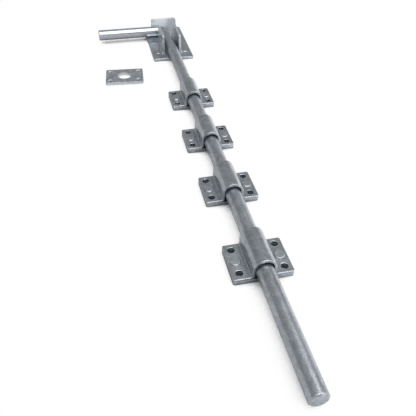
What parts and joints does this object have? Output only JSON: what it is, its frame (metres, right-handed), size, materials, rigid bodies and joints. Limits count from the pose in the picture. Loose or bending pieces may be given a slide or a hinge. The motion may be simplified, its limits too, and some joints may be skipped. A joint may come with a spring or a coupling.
{
  "type": "drop bolt",
  "caption": "Gate drop bolt: a round bar with a bent pull handle, riveted bar guides, a top bracket with cheeks and a stop, and a loose strike plate.",
  "frame": {"origin": "on the face that is screwed to the gate, at the middle of the top bracket's four screws, under the bar's axis", "axes": "+Z out of the gate's face, +Y along the bar from its tip towards the handle, +X away from the side to which the raised handle is turned"},
  "size_m": [0.1742, 0.872, 0.04],
  "materials": {
    "bar": "hot-dip galvanised, dull mottled zinc",
    "bracket": "hot-dip galvanised, dull mottled zinc",
    "guide_plate": "hot-dip galvanised, dull mottled zinc",
    "guide_strap": "hot-dip galvanised, dull mottled zinc",
    "rivet": "hot-dip galvanised, dull mottled zinc",
    "strike": "hot-dip galvanised, dull mottled zinc"
  },
  "bodies": {
    "fixed": {"top_bracket_plate": "bracket", "left_cheek": "bracket", "right_cheek": "bracket", "stop_plate": "bracket", "guide_1_plate": "guide_plate", "guide_1_strap": "guide_strap", "guide_1_left_rivet": "rivet", "guide_1_right_rivet": "rivet", "guide_2_plate": "guide_plate", "guide_2_strap": "guide_strap", "guide_2_left_rivet": "rivet", "guide_2_right_rivet": "rivet", "guide_3_plate": "guide_plate", "guide_3_strap": "guide_strap", "guide_3_left_rivet": "rivet", "guide_3_right_rivet": "rivet", "guide_4_plate": "guide_plate", "guide_4_strap": "guide_strap", "guide_4_left_rivet": "rivet", "guide_4_right_rivet": "rivet", "strike_plate": "strike"},
    "bar": {"bolt_rod": "bar"},
    "handle": {"pull_handle": "bar"}
  },
  "joints": [
    {"name": "bolt_slide", "type": "slide", "parent": "fixed", "child": "bar", "axis": [0, 1, 0], "range_m": [-0.0222, 0.0027]},
    {"name": "handle_turn", "type": "hinge", "parent": "bar", "child": "handle", "pos_m": [0, 0.009, 0.0153], "axis": [0, 1, 0], "range_deg": [0, 180]}
  ]
}
